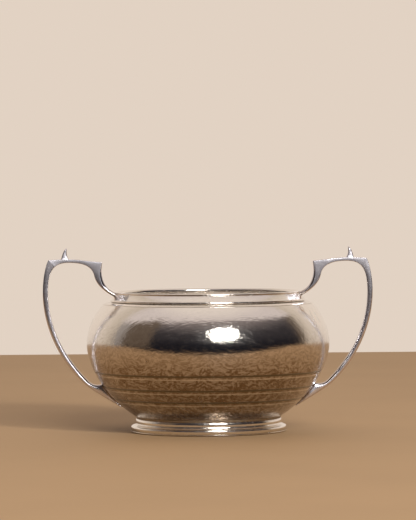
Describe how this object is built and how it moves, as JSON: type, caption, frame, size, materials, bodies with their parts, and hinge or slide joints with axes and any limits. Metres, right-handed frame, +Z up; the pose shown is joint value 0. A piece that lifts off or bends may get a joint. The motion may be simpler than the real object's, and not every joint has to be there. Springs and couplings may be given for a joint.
{
  "type": "sugar bowl",
  "caption": "Open round silver-plated sugar bowl with a flat shoulder, moulded rim, engraved line bands, stepped foot and tall looped handles with thumb spurs.",
  "frame": {"origin": "centre of the foot's underside, on the surface that the bowl stands on", "axes": "+Z up along the axis of the bowl, +X from the left handle to the right handle"},
  "size_m": [0.17, 0.1252, 0.0949],
  "materials": {
    "spun_silver": "mirror-polished silver plate with fine hairline scratches and a faint warm tarnish in the creases",
    "cast_silver": "polished casting, greyer and softer than the bowl, with small pits",
    "hard_solder": "dull grey hard solder, darkened in the crease"
  },
  "bodies": {
    "root": {"bowl_shell": "spun_silver", "rim_moulding": "spun_silver", "foot_ring": "spun_silver", "foot_wire": "spun_silver", "handle_right": "cast_silver", "handle_left": "cast_silver", "rim_solder": "hard_solder", "foot_solder": "hard_solder", "handle_right_top_solder": "hard_solder", "handle_right_tail_solder": "hard_solder", "handle_left_top_solder": "hard_solder", "handle_left_tail_solder": "hard_solder"}
  },
  "joints": []
}
